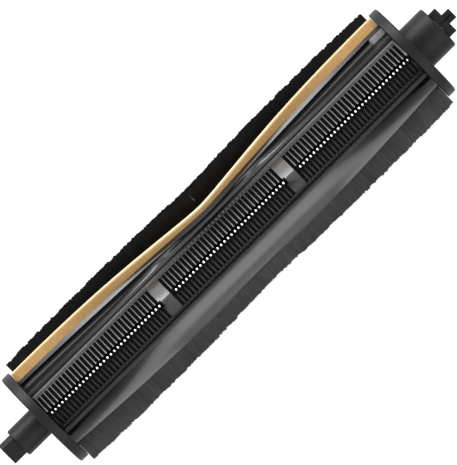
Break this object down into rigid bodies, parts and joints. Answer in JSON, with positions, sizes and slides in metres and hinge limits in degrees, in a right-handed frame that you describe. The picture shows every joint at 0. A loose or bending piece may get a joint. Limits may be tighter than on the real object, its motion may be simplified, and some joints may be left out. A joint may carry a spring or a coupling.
{
  "type": "robot vacuum roller brush",
  "caption": "Cleaning roller with V-shaped bristle rows and rubber strips, slotted combs with sliding hair-cutting blades, a square drive end and a free-turning axle end.",
  "frame": {"origin": "on the roller's axis, at the middle of its whole length", "axes": "+X along the axis from the square drive end to the free-turning axle end, +Z out through the front comb's crest, +Y towards the side where the upper bristle row stands"},
  "size_m": [0.207, 0.0444, 0.0378],
  "materials": {
    "core": "satin moulded plastic, near black",
    "combs": "satin moulded plastic, near black",
    "end_caps": "matte moulded plastic, near black",
    "lock_tabs": "satin moulded plastic, mid grey",
    "strips": "soft matte elastomer, golden tan",
    "bristles": "dense black nylon filaments",
    "blade_steel": "blackened, with bright tooth tips",
    "axle_steel": "turned steel",
    "cam_plastic": "natural low-friction plastic",
    "bronze": "oiled sintered bronze"
  },
  "bodies": {
    "roller": {"core_body": "core", "drive_cap": "end_caps", "bearing_cap": "end_caps", "lock_tab_upper": "lock_tabs", "lock_tab_lower": "lock_tabs", "axle_bush": "bronze", "comb_front": "combs", "fixed_blade_front": "blade_steel", "comb_back": "combs", "fixed_blade_back": "blade_steel", "rubber_strip_upper": "strips", "bristle_row_upper_left": "bristles", "bristle_row_upper_right": "bristles", "rubber_strip_lower": "strips", "bristle_row_lower_left": "bristles", "bristle_row_lower_right": "bristles"},
    "end_axle": {"axle_shaft": "axle_steel", "cam_drum": "cam_plastic", "retaining_clip": "axle_steel", "axle_head": "end_caps"},
    "cutter_front": {"sliding_blade_front": "blade_steel", "blade_carrier_front": "cam_plastic"},
    "cutter_back": {"sliding_blade_back": "blade_steel", "blade_carrier_back": "cam_plastic"}
  },
  "joints": [
    {"name": "axle_turn", "type": "hinge", "parent": "roller", "child": "end_axle", "pos_m": [0.09215, 0, 0], "axis": [1, 0, 0], "continuous": true},
    {"name": "front_blade_slide", "type": "slide", "parent": "roller", "child": "cutter_front", "axis": [1, 0, 0], "range_m": [-0.0008, 0.0008]},
    {"name": "back_blade_slide", "type": "slide", "parent": "roller", "child": "cutter_back", "axis": [1, 0, 0], "range_m": [-0.0008, 0.0008]}
  ],
  "couplings": [
    {"joint": "back_blade_slide", "follows": "front_blade_slide", "ratio": -1}
  ]
}
